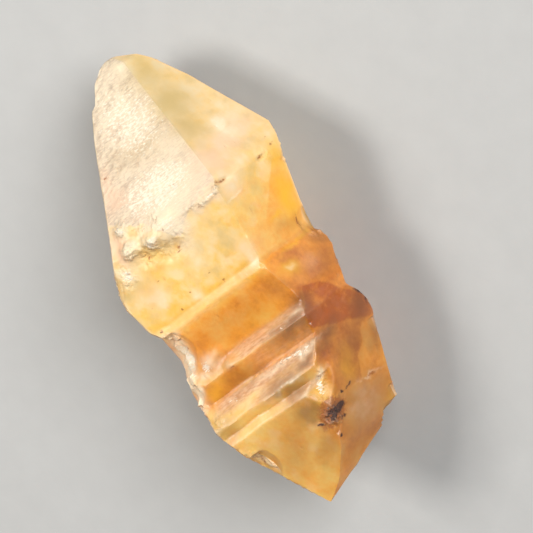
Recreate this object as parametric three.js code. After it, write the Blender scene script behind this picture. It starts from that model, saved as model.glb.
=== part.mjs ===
// Rough sapphire: one stepped hexagonal crystal of corundum, lying on a long flat face.
// Millimetres, +Z up. The crystal's long axis lies along X, with the blunt tip towards +X and the
// broken base towards -X. The resting face is on Z = 0, under the middle of the crystal's box.
//
// The crystal is a stack of six-sided rings along its long axis. Each of the six side faces has its
// own profile, which gives how far the face stands from the axis at each distance from the tip. A
// stretch that rises away from the tip is a pyramid face, one that falls is the crystal thinning
// again, and a short rise is a growth ledge. Neighbouring faces meet at the ring's corners.
import * as THREE from 'three';

const LENGTH = 20.15;
const RESTING_DISTANCE = 3.5;
const FACE_COUNT = 6;
const FACE_TURN = (2 * Math.PI) / FACE_COUNT;
const FIRST_FACE_ANGLE = FACE_TURN / 2;

// Angles around the long axis, from +Y towards +Z.
const degrees = THREE.MathUtils.degToRad;

// Face profiles: [distance from the tip, distance from the long axis].
const LEFT_FACE = [
  [0, 0.35], [0.4, 0.95], [1.15, 1.48], [1.25, 1.72], [2.4, 2.42], [4.5, 3.48], [7.3, 4.95],
  [8.3, 5.33], [8.9, 5.38], [10.1, 5.18], [10.6, 4.88], [11.8, 4.78], [12.2, 4.85], [12.4, 4.97],
  [13.2, 5.2], [15.1, 5.4], [15.5, 5.32], [16.6, 4.96], [17.1, 4.7], [LENGTH, 3.25],
];
const TOP_FACE = [
  [0, 0.45], [0.4, 0.85], [6.9, 4.0], [10.4, 3.3], [10.6, 3.43], [12.7, 2.9], [13.2, 3.15],
  [14.0, 2.83], [15.1, 3.36], [15.5, 3.18], [15.9, 3.38], [17.1, 2.97], [18.5, 2.75],
  [19.6, 2.45], [LENGTH, 2.3],
];
const RIGHT_FACE = [
  [0, 0.75], [0.4, 1.34], [6.5, 4.32], [6.9, 4.36], [8.3, 4.02], [10.4, 3.41], [10.6, 3.5],
  [12.2, 3.5], [12.7, 3.38], [13.2, 3.46], [14.0, 3.1], [15.1, 2.78], [17.1, 1.95],
  [18.5, 1.15], [19.6, 0.0], [LENGTH, -0.9],
];
const LOWER_RIGHT_FACE = [
  [0, 0.45], [0.4, 1.15], [0.9, 1.58], [2.4, 2.38], [5.9, 3.86], [6.5, 3.78], [7.3, 3.5],
  [9.3, 2.97], [10.6, 2.76], [10.75, 2.9], [11.1, 2.98], [11.5, 2.97], [11.8, 2.8], [13.2, 2.57],
  [13.7, 2.77], [14.3, 2.88], [14.7, 2.8], [15.1, 2.63], [17.1, 1.91], [18.3, 1.61],
  [18.5, 1.33], [19.6, -1.74], [LENGTH, -3.25],
];
const RESTING_FACE = [
  [0, 0.55], [0.4, 0.95], [5.9, RESTING_DISTANCE], [16.2, RESTING_DISTANCE], [18.3, 1.3],
  [LENGTH, -2.3],
];
const BACK_FACE = [
  [0, 0.5], [0.4, 0.95], [7.3, 4.0], [8.3, 4.1], [10.4, 3.55], [10.6, 3.7], [12.7, 3.45],
  [13.2, 3.65], [14.0, 3.5], [15.1, 3.78], [16.6, 3.48], [18.3, 2.55], [LENGTH, 0.9],
];

// Growth ledges: short rises across one face, at the same distances from the tip all along it.
// The riser and the unevenness are shares of the pitch.
const TOP_LEDGES = { from: 1.3, to: 6.7 };
const BACK_LEDGES = { from: 1.3, to: 6.9 };
const LEDGE_PITCH = 0.46;
const LEDGE_RISE = 0.045;
const LEDGE_RISER = 0.3;
const LEDGE_UNEVEN = 0.3;
const LEDGE_RHYTHM = 2.4;

// A chip is a shallow scoop broken out of an edge: the angle that it faces, its middle and half
// length along the axis, how far it cuts in below the edge, and how it slopes towards the base.
const CHIPS = [
  // The two bright chips one after the other down the left edge of the waist.
  { angle: 57, at: 11.75, reach: 1.15, depth: 0.46, slope: 0.04 },
  { angle: 54, at: 13.35, reach: 0.62, depth: 0.36, slope: 0.08 },
  // Small breaks along the edges that show from above.
  { angle: 62, at: 7.9, reach: 0.6, depth: 0.14, slope: 0 },
  { angle: 178, at: 10.15, reach: 0.6, depth: 0.2, slope: -0.1 },
  { angle: 121, at: 16.4, reach: 0.8, depth: 0.22, slope: 0.08 },
  { angle: 58, at: 17.6, reach: 0.9, depth: 0.3, slope: 0 },
  // Larger breaks along the edges turned away.
  { angle: 2, at: 9.2, reach: 1.3, depth: 0.45, slope: -0.06 },
  { angle: 358, at: 14.2, reach: 0.9, depth: 0.3, slope: 0.05 },
  { angle: 298, at: 15.6, reach: 1.9, depth: 0.5, slope: -0.05 },
  { angle: 302, at: 7.2, reach: 1.2, depth: 0.3, slope: 0 },
  { angle: 238, at: 12.4, reach: 1.4, depth: 0.32, slope: 0.04 },
  { angle: 330, at: 18.2, reach: 1.1, depth: 0.3, slope: -0.1 },
];

// Lumps stand out and pits sink in. Each has its face, its middle along the axis and across the
// face, its radius in those two directions, its turn on the face and its height.
const LEFT = 0;
const TOP = 1;
const RIGHT = 2;
const LOWER_RIGHT = 3;
const BACK = 5;
const LUMPS_AND_PITS = [
  // The broken cluster at the left end of the top face's widest line.
  { face: TOP, at: 6.05, across: -2.1, along: 0.3, wide: 0.38, turn: 0, height: 0.24 },
  { face: TOP, at: 7.15, across: -1.1, along: 0.36, wide: 0.42, turn: 20, height: 0.26 },
  { face: TOP, at: 6.85, across: -2.25, along: 0.34, wide: 0.36, turn: 0, height: 0.26 },
  { face: TOP, at: 7.75, across: -0.95, along: 0.42, wide: 0.75, turn: -12, height: -0.34 },
  { face: TOP, at: 7.5, across: -2.05, along: 0.3, wide: 0.34, turn: 0, height: -0.28 },
  // The slanted furrow and the short slits on the upper faces.
  { face: TOP, at: 5.75, across: 0.5, along: 0.14, wide: 1.3, turn: -9, height: -0.12 },
  { face: TOP, at: 3.87, across: -1.35, along: 0.18, wide: 0.35, turn: 0, height: -0.14 },
  { face: RIGHT, at: 6.83, across: -1.75, along: 0.17, wide: 0.42, turn: 8, height: -0.2 },
  { face: RIGHT, at: 6.95, across: 0.55, along: 0.17, wide: 0.3, turn: 0, height: -0.18 },
  { face: RIGHT, at: 9.95, across: 0.85, along: 0.42, wide: 0.2, turn: 0, height: -0.2 },
  // The rounded lump beside the waist, and the hollow band under it.
  { face: RIGHT, at: 11.6, across: 0.6, along: 0.75, wide: 0.8, turn: 20, height: 0.17 },
  { face: RIGHT, at: 13.35, across: 0.3, along: 0.42, wide: 1.5, turn: 12, height: -0.12 },
  // Small broken facets between the chipped left edge and the first wide ledge.
  { face: TOP, at: 12.55, across: -2.5, along: 0.25, wide: 0.5, turn: 20, height: 0.18 },
  { face: TOP, at: 13.1, across: -1.85, along: 0.28, wide: 0.35, turn: 0, height: 0.15 },
  // The crust and the stained pit beside it near the base.
  { face: RIGHT, at: 15.9, across: -1.6, along: 0.8, wide: 0.34, turn: -14, height: 0.17 },
  { face: RIGHT, at: 17.25, across: -1.6, along: 0.4, wide: 0.5, turn: 0, height: -0.24 },
  // Pits and lumps on the faces turned away.
  { face: BACK, at: 6.6, across: 0.6, along: 0.5, wide: 0.9, turn: 15, height: -0.26 },
  { face: BACK, at: 11.6, across: -0.9, along: 0.4, wide: 0.6, turn: 0, height: 0.2 },
  { face: BACK, at: 14.6, across: 0.8, along: 0.45, wide: 0.45, turn: 0, height: -0.22 },
  { face: LEFT, at: 14.4, across: -0.5, along: 0.5, wide: 0.5, turn: 0, height: -0.18 },
  { face: LOWER_RIGHT, at: 4.6, across: 0.3, along: 0.5, wide: 0.6, turn: 20, height: -0.16 },
  { face: LOWER_RIGHT, at: 15.6, across: 0.4, along: 0.5, wide: 0.7, turn: 0, height: -0.2 },
];

// A lump or pit shapes only what lies this near to its own face, so none reaches the far side.
const SAME_FACE = 1;

// How many strips each face is divided into across its width, and the longest step between rings.
const STRIPS = [6, 18, 14, 7, 2, 7];
const LONGEST_STEP = 0.42;

const MATERIAL = { color: 0xe9b862, roughness: 0.35, metalness: 0 };

/** The value of a profile at a distance from the tip, on straight lines between its points. */
function valueAt(profile, at) {
  const next = profile.findIndex((point) => point[0] >= at);
  if (next <= 0) {
    return profile[0][1];
  }
  const [startAt, start] = profile[next - 1];
  const [endAt, end] = profile[next];
  return start + ((end - start) * (at - startAt)) / (endAt - startAt);
}

/** Adds uneven growth ledges to one stretch of a profile: each is a short riser and a long tread. */
function withLedges(profile, { from, to }) {
  const ledges = [];
  let at = from;
  for (let index = 0; at < to; index += 1) {
    const pitch = LEDGE_PITCH * (1 + LEDGE_UNEVEN * Math.sin(LEDGE_RHYTHM * index));
    const top = at + LEDGE_RISER * pitch;
    ledges.push([at, valueAt(profile, at) - LEDGE_RISE / 2]);
    ledges.push([top, valueAt(profile, top) + LEDGE_RISE / 2]);
    at += pitch;
  }
  const outside = profile.filter((point) => point[0] < from || point[0] > to);
  return [...outside, ...ledges].sort((a, b) => a[0] - b[0]);
}

const FACES = [
  LEFT_FACE,
  withLedges(TOP_FACE, TOP_LEDGES),
  RIGHT_FACE,
  LOWER_RIGHT_FACE,
  RESTING_FACE,
  withLedges(BACK_FACE, BACK_LEDGES),
].map((profile, index) => {
  const angle = FIRST_FACE_ANGLE + index * FACE_TURN;
  return {
    profile,
    normal: new THREE.Vector2(Math.cos(angle), Math.sin(angle)),
    across: new THREE.Vector2(-Math.sin(angle), Math.cos(angle)),
  };
});

/** The corner between each face and the next one, at a distance from the tip. */
function ringCorners(at) {
  return FACES.map((face, index) => {
    const next = FACES[(index + 1) % FACE_COUNT];
    const height = valueAt(face.profile, at);
    const nextHeight = valueAt(next.profile, at);
    const reach = (nextHeight - height * Math.cos(FACE_TURN)) / Math.sin(FACE_TURN);
    return face.normal.clone().multiplyScalar(height).addScaledVector(face.across, reach);
  });
}

function middleOf(corners) {
  const middle = new THREE.Vector2();
  corners.forEach((corner) => middle.add(corner));
  return middle.divideScalar(corners.length);
}

/** A chip with its direction, and how far the ring may reach that way at the chip's middle. */
function measuredChip(chip) {
  const direction = new THREE.Vector2(Math.cos(degrees(chip.angle)), Math.sin(degrees(chip.angle)));
  const edge = Math.max(...ringCorners(chip.at).map((corner) => corner.dot(direction)));
  return { ...chip, direction, edge };
}

/** Pulls a point in towards the ring's middle until it lies on or under a chip's scooped face. */
function cutByChip(point, middle, at, chip) {
  const offset = at - chip.at;
  const scoop = 1 - (offset / chip.reach) ** 2;
  if (scoop <= 0) {
    return;
  }
  const limit = chip.edge - chip.depth * scoop + chip.slope * offset;
  const allowed = limit - middle.dot(chip.direction);
  const outward = point.clone().sub(middle);
  const reach = outward.dot(chip.direction);
  if (reach > allowed) {
    point.copy(middle).addScaledVector(outward, allowed / reach);
  }
}

/** Height of a lump or pit at a point: a rounded hill that fades out away from its middle. */
function hillHeight(point, at, hill) {
  const face = FACES[hill.face];
  const surface = valueAt(face.profile, hill.at);
  if (Math.abs(point.dot(face.normal) - surface) > SAME_FACE) {
    return 0;
  }
  const turn = degrees(hill.turn);
  const alongAxis = at - hill.at;
  const alongFace = point.dot(face.across) - hill.across;
  const along = (alongAxis * Math.cos(turn) + alongFace * Math.sin(turn)) / hill.along;
  const wide = (alongFace * Math.cos(turn) - alongAxis * Math.sin(turn)) / hill.wide;
  return hill.height * Math.exp(-(along * along) - wide * wide);
}

/** One ring of the crystal: its corners joined by straight strips, then chipped and pitted. */
function ringPoints(at, chips) {
  const corners = ringCorners(at);
  const middle = middleOf(corners);
  const points = [];
  FACES.forEach((face, index) => {
    const start = corners[(index + FACE_COUNT - 1) % FACE_COUNT];
    for (let strip = 0; strip < STRIPS[index]; strip += 1) {
      const point = start.clone().lerp(corners[index], strip / STRIPS[index]);
      chips.forEach((chip) => cutByChip(point, middle, at, chip));
      const hills = LUMPS_AND_PITS.map((hill) => hillHeight(point, at, hill));
      const height = hills.reduce((sum, value) => sum + value, 0);
      const outward = point.clone().sub(middle).normalize();
      point.addScaledVector(outward, height);
      point.y = Math.max(point.y, -RESTING_DISTANCE);
      points.push(point);
    }
  });
  return points;
}

/** The distances from the tip at which a face turns, with long stretches divided. */
function ringLevels() {
  const turns = FACES.flatMap((face) => face.profile.map((point) => point[0]));
  const sorted = [...new Set(turns)].sort((a, b) => a - b);
  const levels = [sorted[0]];
  sorted.slice(1).forEach((level) => {
    const start = levels[levels.length - 1];
    const pieces = Math.ceil((level - start) / LONGEST_STEP);
    for (let piece = 1; piece <= pieces; piece += 1) {
      levels.push(start + ((level - start) * piece) / pieces);
    }
  });
  return levels;
}

/** The closed surface: rings joined by quads, a flat cap at the tip and a point at the base. */
function crystalGeometry() {
  const chips = CHIPS.map(measuredChip);
  const levels = ringLevels();
  const columns = STRIPS.reduce((sum, count) => sum + count, 0);
  const positions = [];
  const indices = [];
  const rings = levels.slice(0, -1);
  rings.forEach((at) => {
    ringPoints(at, chips).forEach((point) => positions.push(-at, point.x, point.y));
  });
  const tip = middleOf(ringCorners(0));
  const base = middleOf(ringCorners(LENGTH));
  positions.push(0, tip.x, tip.y, -LENGTH, base.x, base.y);
  const tipIndex = rings.length * columns;
  const baseIndex = tipIndex + 1;
  const lastRing = (rings.length - 1) * columns;
  for (let column = 0; column < columns; column += 1) {
    const next = (column + 1) % columns;
    indices.push(tipIndex, column, next);
    indices.push(baseIndex, lastRing + next, lastRing + column);
    for (let ring = 0; ring < rings.length - 1; ring += 1) {
      const near = ring * columns;
      const far = near + columns;
      indices.push(near + column, far + column, near + next);
      indices.push(near + next, far + column, far + next);
    }
  }
  const geometry = new THREE.BufferGeometry();
  geometry.setAttribute('position', new THREE.Float32BufferAttribute(positions, 3));
  geometry.setIndex(indices);
  geometry.computeVertexNormals();
  return geometry;
}

/** Moves the crystal so that its box is centred over the origin and its lowest face is at Z = 0. */
function seat(geometry) {
  geometry.computeBoundingBox();
  const { min, max } = geometry.boundingBox;
  geometry.translate(-(min.x + max.x) / 2, -(min.y + max.y) / 2, -min.z);
  return geometry;
}

const crystal = new THREE.Mesh(seat(crystalGeometry()), new THREE.MeshStandardMaterial(MATERIAL));
crystal.name = 'sapphire_crystal';

const group = new THREE.Group();
group.add(crystal);

export default group;
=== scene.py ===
"""A rough yellow sapphire crystal on a pale surface, in soft studio light.

The crystal is one closed surface, worked out with numpy as a function of two parameters: the
distance from the tip along the long axis, and the place around the ring of six faces. Shapes are
worked out in millimetres in the crystal's own frame and put into the mesh in metres. The same
arrays give the crystal's stains, frosting, colour zones and painted highlights and shade, which
the material reads as attributes.
"""

import itertools
import math

import bpy
import numpy as np
from mathutils import Matrix, Vector


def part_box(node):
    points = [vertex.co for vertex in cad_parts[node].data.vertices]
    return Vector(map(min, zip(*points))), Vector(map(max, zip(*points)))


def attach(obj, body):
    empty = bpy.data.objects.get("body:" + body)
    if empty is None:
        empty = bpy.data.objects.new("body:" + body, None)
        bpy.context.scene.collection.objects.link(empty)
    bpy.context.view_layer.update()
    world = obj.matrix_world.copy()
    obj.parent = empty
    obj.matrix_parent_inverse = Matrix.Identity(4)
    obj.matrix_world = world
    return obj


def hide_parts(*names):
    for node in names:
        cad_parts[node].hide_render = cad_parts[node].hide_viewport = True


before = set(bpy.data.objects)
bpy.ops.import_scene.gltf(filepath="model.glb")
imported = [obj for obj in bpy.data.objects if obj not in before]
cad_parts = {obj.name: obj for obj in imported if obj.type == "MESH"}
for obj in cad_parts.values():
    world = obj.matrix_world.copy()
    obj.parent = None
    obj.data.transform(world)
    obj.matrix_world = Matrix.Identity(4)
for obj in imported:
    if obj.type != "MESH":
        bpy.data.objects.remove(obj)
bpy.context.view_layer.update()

MM = 0.001
NODE = "sapphire_crystal"

# --- The crystal's form ---

LENGTH = 20.15
RESTING_DISTANCE = 3.5
FACE_COUNT = 6
FACE_TURN = 2 * math.pi / FACE_COUNT
FACE_DEGREES = 360 // FACE_COUNT
LEFT, TOP, RIGHT, LOWER_RIGHT, RESTING, BACK = range(FACE_COUNT)

# Face profiles: (distance from the tip, distance from the long axis). They are the solid's own, but
# for a softer lip on the top face's first ledge. The scoops, lumps and pits are the solid's too.
LEFT_FACE = [
    (0, 0.35), (0.4, 0.95), (1.15, 1.48), (1.25, 1.72), (2.4, 2.42), (4.5, 3.48), (7.3, 4.95),
    (8.3, 5.33), (8.9, 5.38), (10.1, 5.18), (10.6, 4.88), (11.8, 4.78), (12.2, 4.85), (12.4, 4.97),
    (13.2, 5.2), (15.1, 5.4), (15.5, 5.32), (16.6, 4.96), (17.1, 4.7), (LENGTH, 3.25),
]
TOP_FACE = [
    (0, 0.45), (0.4, 0.85), (6.9, 4.0), (10.2, 3.33), (10.65, 3.42), (12.7, 2.9), (13.2, 3.15),
    (14.0, 2.83), (15.1, 3.36), (15.5, 3.18), (15.9, 3.38), (17.1, 2.97), (18.5, 2.75),
    (19.6, 2.45), (LENGTH, 2.3),
]
RIGHT_FACE = [
    (0, 0.75), (0.4, 1.34), (6.5, 4.32), (6.9, 4.36), (8.3, 4.02), (10.4, 3.41), (10.6, 3.5),
    (12.2, 3.5), (12.7, 3.38), (13.2, 3.46), (14.0, 3.1), (15.1, 2.78), (17.1, 1.95),
    (18.5, 1.15), (19.6, 0.0), (LENGTH, -0.9),
]
LOWER_RIGHT_FACE = [
    (0, 0.45), (0.4, 1.15), (0.9, 1.58), (2.4, 2.38), (5.9, 3.86), (6.5, 3.78), (7.3, 3.5),
    (9.3, 2.97), (10.6, 2.76), (10.75, 2.9), (11.1, 2.98), (11.5, 2.97), (11.8, 2.8), (13.2, 2.57),
    (13.7, 2.77), (14.3, 2.88), (14.7, 2.8), (15.1, 2.63), (17.1, 1.91), (18.3, 1.61),
    (18.5, 1.33), (19.6, -1.74), (LENGTH, -3.25),
]
RESTING_FACE = [
    (0, 0.55), (0.4, 0.95), (5.9, RESTING_DISTANCE), (16.2, RESTING_DISTANCE), (18.3, 1.3),
    (LENGTH, -2.3),
]
BACK_FACE = [
    (0, 0.5), (0.4, 0.95), (7.3, 4.0), (8.3, 4.1), (10.4, 3.55), (10.6, 3.7), (12.7, 3.45),
    (13.2, 3.65), (14.0, 3.5), (15.1, 3.78), (16.6, 3.48), (18.3, 2.55), (LENGTH, 0.9),
]
PROFILES = [
    np.array(profile)
    for profile in (LEFT_FACE, TOP_FACE, RIGHT_FACE, LOWER_RIGHT_FACE, RESTING_FACE, BACK_FACE)
]

FACE_ANGLES = FACE_TURN * (np.arange(FACE_COUNT) + 0.5)
NORMALS = np.stack([np.cos(FACE_ANGLES), np.sin(FACE_ANGLES)], axis=-1)
ACROSS = np.stack([-np.sin(FACE_ANGLES), np.cos(FACE_ANGLES)], axis=-1)

# A scoop broken out of an edge: (angle it faces, middle, half length, depth, slope to the base).
SCOOPS = [
    (57, 11.75, 1.15, 0.46, 0.04), (54, 13.35, 0.62, 0.36, 0.08), (62, 7.9, 0.6, 0.14, 0),
    (178, 10.15, 0.6, 0.2, -0.1), (121, 16.4, 0.8, 0.22, 0.08), (58, 17.6, 0.9, 0.3, 0),
    (2, 9.2, 1.3, 0.45, -0.06), (358, 14.2, 0.9, 0.3, 0.05), (298, 15.6, 1.9, 0.5, -0.05),
    (302, 7.2, 1.2, 0.3, 0), (238, 12.4, 1.4, 0.32, 0.04), (330, 18.2, 1.1, 0.3, -0.1),
]

# Lumps and pits: (face, at, across, radius along, radius across, turn in degrees, height).
LUMPS_AND_PITS = [
    (TOP, 6.05, -2.1, 0.3, 0.38, 0, 0.24), (TOP, 7.15, -1.1, 0.36, 0.42, 20, 0.26),
    (TOP, 6.85, -2.25, 0.34, 0.36, 0, 0.26), (TOP, 7.75, -0.95, 0.42, 0.75, -12, -0.34),
    (TOP, 7.5, -2.05, 0.3, 0.34, 0, -0.28), (TOP, 5.75, 0.5, 0.14, 1.3, -9, -0.12),
    (TOP, 3.87, -1.35, 0.1, 0.3, -14, -0.12), (RIGHT, 6.83, -1.75, 0.09, 0.46, -8, -0.16),
    (RIGHT, 6.95, 0.55, 0.09, 0.26, 0, -0.14), (RIGHT, 9.95, 0.85, 0.42, 0.2, 0, -0.2),
    (RIGHT, 11.6, 0.6, 0.75, 0.8, 20, 0.17), (RIGHT, 13.35, 0.3, 0.42, 1.5, 12, -0.12),
    (TOP, 12.55, -2.5, 0.25, 0.5, 20, 0.18), (TOP, 13.1, -1.85, 0.28, 0.35, 0, 0.15),
    (RIGHT, 15.9, -1.6, 0.8, 0.34, -14, 0.17), (RIGHT, 17.25, -1.6, 0.4, 0.5, 0, -0.24),
    (BACK, 6.6, 0.6, 0.5, 0.9, 15, -0.26), (BACK, 11.6, -0.9, 0.4, 0.6, 0, 0.2),
    (BACK, 14.6, 0.8, 0.45, 0.45, 0, -0.22), (LEFT, 14.4, -0.5, 0.5, 0.5, 0, -0.18),
    (LOWER_RIGHT, 4.6, 0.3, 0.5, 0.6, 20, -0.16), (LOWER_RIGHT, 15.6, 0.4, 0.5, 0.7, 0, -0.2),
]
SAME_FACE = 1.0

# Where the faces lie around the ring, in degrees from +Y towards +Z.
TOP_START = 60
RIGHT_END = 180
BACK_START = 300

# --- The grid ---

# Rows run along the axis, packed closely where the surface is finest, and columns run around the
# ring, face by face.
COLUMNS_PER_FACE = [34, 114, 94, 42, 12, 40]
ROW_STRETCHES = [
    (0.0, 5.6, 90), (5.6, 8.3, 56), (8.3, 10.2, 20), (10.2, 16.4, 78), (16.4, 18.2, 26),
    (18.2, LENGTH, 12),
]
CAP_ROWS = 6
CAP_DOME = 0.12
SHARP_ANGLE = 38

# A length that counts as none, so that nothing is divided by zero.
TINY = 1e-12

# --- Finer form, which only this surface has ---

SEED = 41
LATTICE = 32
RANDOM_VALUES = np.random.default_rng(SEED).random((LATTICE, LATTICE, LATTICE))
RANDOM_PLACES = np.random.default_rng(SEED + 1).random((LATTICE, LATTICE, LATTICE, 3))

# Ledges and edges waver along the axis, between these two stretches of fading: (shift, length,
# waves around, noise shift).
RAGGED_START = (6.0, 7.2)
RAGGED_END = (17.6, 16.6)
RAGGED_WAVES = [(0.05, 1.7, 4, 2.5), (0.01, 0.6, 14, 7.5)]
RAGGED_FOLD = 1.7

# Small notches knocked out of the long edges below the pyramid.
NOTCH_COUNT = 64
NOTCH_SPREAD = 14
NOTCH_DEPTH = (0.02, 0.1)
NOTCH_SLOPE = (0.15, 0.9)
NOTCH_STRETCH = (7.3, 19.0)
NOTCH_REACH = 2

# Growth striae on the etched pyramid faces. Waves are given as (height, size, noise shift), and
# streaks, which are stretched around the ring, as (pitch, length, noise shift).
STRIAE_WAVES = [(0.05, 0.6, 4.0)]
STRIAE_STREAKS = (0.12, 0.6, 1.5)
STRIAE_RISE = 0.034
STRIAE_FADE = (4.0, 5.2)
SLANT = 0.08
EDGE_SLANT = 0.5
EDGE_SLANT_REACH = 0.8
STRIAE_LOW_SHARE = 0.45
STREAK_STEP = (-0.03, 0.04)
GRAIN_WAVES = [(0.016, 0.12, 6.0)]
SWELL_STREAKS = (0.55, 2.2, 8.5)
SWELL_RISE = 0.028

# Relief of the sound, crusted and broken places. Grains are given as (size, noise shift).
SURFACE_WAVES = [(0.012, 1.6, 2.0), (0.004, 0.5, 3.0)]
RIB_STREAKS = (0.22, 2.2, 5.5)
RIB_RISE = 0.006
UNSEEN_RIB_RISE = 0.01
CRUMB_GRAINS = (0.2, 1.3)
SMALL_CRUMB_GRAINS = (0.1, 2.7)
CRUMB_RISE = 0.17
CRUMB_MIDDLE = 0.53
FACET_GRAINS = (0.5, 4.1)
FACET_TILT = 0.21
FACET_STEP = 0.05
PIT_DEPTH = 0.04
PIT_WALL = (0.26, 0.12)
PIT_RARITY = 0.98
FLOOR_FADE = 0.25
BASE_FADE = 0.5

# The etched zone of the top face ends at this crusty border, (girth, distance from the tip), with a
# thin veil of frost beyond it. On the back and left faces it fades out over BACK_BORDER.
FROST_BORDER = [
    (-5.4, 5.5), (-4.7, 5.8), (-4.1, 6.3), (-3.4, 6.8), (-2.9, 7.5), (-2.4, 7.7), (-1.6, 7.05),
    (-0.8, 6.85), (0.5, 6.8),
]
BORDER_WAVES = [(0.22, 0.55, 1.0), (0.12, 0.17, 2.0)]
BORDER_SOFTNESS = 0.06
VEIL_WIDTH = 1.5
VEIL_STRENGTH = 0.55
VEIL_WAVES = [(1, 0.5, 11.0)]
VEIL_HOLES = (-0.3, 0.4)
BACK_BORDER = (7.1, 6.6)
BACK_FROST = 0.85
RIDGE_SOFTNESS = 0.07
RIDGE_CALM = 0.3
LEFT_FROST = 0.5

# Pinkish bands along the ledges of the top face, streaked lengthwise: (start, soft start, soft end,
# end, girth at the left end, girth at the right end, strength).
LEDGE_BANDS = [
    (10.52, 10.66, 10.74, 10.9, -5.4, -0.9, 0.3),
    (12.45, 12.85, 13.12, 13.2, -3.9, -0.15, 0.95),
    (13.1, 13.3, 14.0, 14.2, -3.3, -0.15, 0.42),
    (14.08, 14.2, 14.5, 14.8, -5.6, -0.05, 0.95), (14.5, 14.7, 15.0, 15.12, -3.5, -0.1, 0.6),
    (15.5, 15.62, 15.76, 15.95, -1.6, 0.1, 0.9),
]
BAND_FADE = 0.5
BAND_END = 0.04
BAND_WAVES = [(0.04, 0.35, 12.0)]
BAND_STREAKS = (0.09, 1.6, 3.5)
BAND_STREAK_STEP = (-0.7, 0.4)
BAND_CONTRAST = 0.45

# Marks are places on the surface: (at, girth, radius along, radius around, strength, and the turn
# in degrees of a turned one). Girth is the distance around the ring from the top face's right ridge.
CRUST = [
    (6.05, -4.76, 0.34, 0.38, 1), (7.15, -3.78, 0.38, 0.42, 1), (6.86, -4.85, 0.32, 0.36, 1),
    (6.4, -4.2, 0.3, 0.4, 0.7), (7.5, -4.6, 0.32, 0.3, 0.8), (7.75, -3.6, 0.35, 0.7, 0.6, -12),
    (7.7, -5.7, 0.6, 0.4, 0.7, -30), (6.6, -3.4, 0.25, 0.6, 0.6), (7.6, -2.6, 0.25, 0.4, 0.5),
    (6.97, -0.03, 0.13, 0.17, 0.8), (7.09, -0.7, 0.17, 0.45, 0.9), (6.9, -1.5, 0.12, 0.4, 0.5),
    (7, 2.8, 0.3, 0.3, 0.35), (9.95, 2.72, 0.36, 0.15, 0.6), (10.6, 3, 0.3, 0.3, 0.4),
    (15.5, -0.02, 0.28, 0.2, 0.5), (15.95, 0.22, 0.34, 0.22, 0.55, -10), (16.35, 0.05, 0.26, 0.2, 0.5),
    (17.25, 0.05, 0.42, 0.62, 0.9), (14.3, -1.4, 0.1, 1.7, 0.6), (14.9, -5.6, 0.5, 0.3, 0.6),
    (16.3, -5.9, 1.2, 0.5, 0.6), (17.2, -4.6, 0.7, 0.5, 0.6),
]
BROKEN = [
    (11, -5.8, 0.5, 0.4, 0.9, -8), (11.9, -6.2, 0.8, 0.45, 1, -8), (12.8, -6.6, 0.6, 0.5, 1, -8),
    (13.5, -6.6, 0.7, 0.5, 1), (12.5, -4.95, 0.28, 0.5, 0.35, -16), (12.9, -5.6, 0.28, 0.5, 0.35, -20),
    (13.3, -6.2, 0.4, 0.3, 1), (13, -4.25, 0.22, 0.3, 0.3),
]
# Milky clouds in the stone, with painted light among them: the bright patch at (4.84, 1.86) on the right
# face is a painted internal reflection, and the small bright spots at (6.97, -0.03) and (7.09, -0.7) are
# painted glints.
CLOUDS_AND_REFLECTIONS = [
    (4.84, 1.86, 0.28, 0.4, 1.6, 20), (5.33, 1.9, 0.4, 0.5, 0.9), (5.5, -0.9, 0.3, 0.6, 0.7),
    (0.4, -0.2, 0.25, 0.3, 1), (5.8, -1.85, 0.95, 1.7, 0.85), (6.8, -2.8, 0.8, 1, 1),
    (4.3, -0.9, 0.9, 0.7, 0.4), (2.3, -1.2, 1.2, 0.8, 0.35), (6.05, -4.76, 0.26, 0.3, 1.3),
    (7.15, -3.78, 0.28, 0.32, 1.3), (6.86, -4.82, 0.22, 0.28, 1.2), (6.97, -0.03, 0.12, 0.14, 1),
    (7.09, -0.7, 0.14, 0.4, 1), (7.28, 0.76, 0.42, 0.5, 0.6), (7.67, 0.58, 0.05, 0.5, 0.8, 5),
    (7.7, -5.7, 0.3, 0.5, 0.8, -30), (8.3, -2.2, 0.5, 0.7, 0.2), (9.35, -4.89, 0.33, 0.24, 0.9),
    (9.98, -3.36, 0.27, 0.3, 0.9), (9, -2.7, 0.4, 0.5, 0.2), (10.05, -0.23, 0.36, 0.26, 0.8),
    (10.75, -5.2, 0.1, 0.3, 0.8), (12.45, -4.95, 0.2, 0.4, 0.45, -16), (13.3, -6.3, 0.3, 0.3, 0.6),
    (11.9, -6.5, 1, 0.7, 1, -8), (12.95, -0.35, 0.1, 0.3, 0.6), (14.35, -0.6, 0.14, 0.6, 0.8),
    (14.4, -2.2, 0.13, 1, 0.5), (15.06, -1.4, 0.06, 0.7, 0.8, 2), (15.78, -0.7, 0.1, 0.4, 0.5),
    (16.82, 2.4, 0.05, 0.7, 0.5, -4), (17.6, 1.8, 0.7, 0.9, 0.2), (15.5, 0, 0.26, 0.26, 1),
    (16.1, 0.2, 0.32, 0.2, 0.25, -10), (11.3, 0.8, 0.1, 0.16, 0.6), (12.9, -5.6, 0.2, 0.4, 0.4, -20),
]
OLIVE = [
    (1.5, 0.6, 1, 1, 0.7), (2.9, 0.7, 1.2, 1, 0.9), (4.2, 0.6, 0.9, 0.8, 0.8), (5.1, 0.35, 0.7, 0.4, 0.6),
    (3.8, -1.5, 0.5, 1.5, 0.3, -6), (7.75, -3.62, 0.34, 0.7, 0.7, -12), (6.36, -4.5, 0.2, 0.2, 0.4),
    (7.5, -4.62, 0.3, 0.2, 0.4), (8.72, -0.69, 0.45, 0.9, 0.3), (7.16, 1.91, 0.4, 0.3, 0.35),
    (7.84, 1.55, 0.45, 0.3, 0.35), (8.39, 0.85, 0.45, 0.3, 0.35), (9.26, -1.3, 0.14, 0.18, 0.5),
    (8.44, -6, 0.33, 0.29, 0.5),
]
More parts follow.
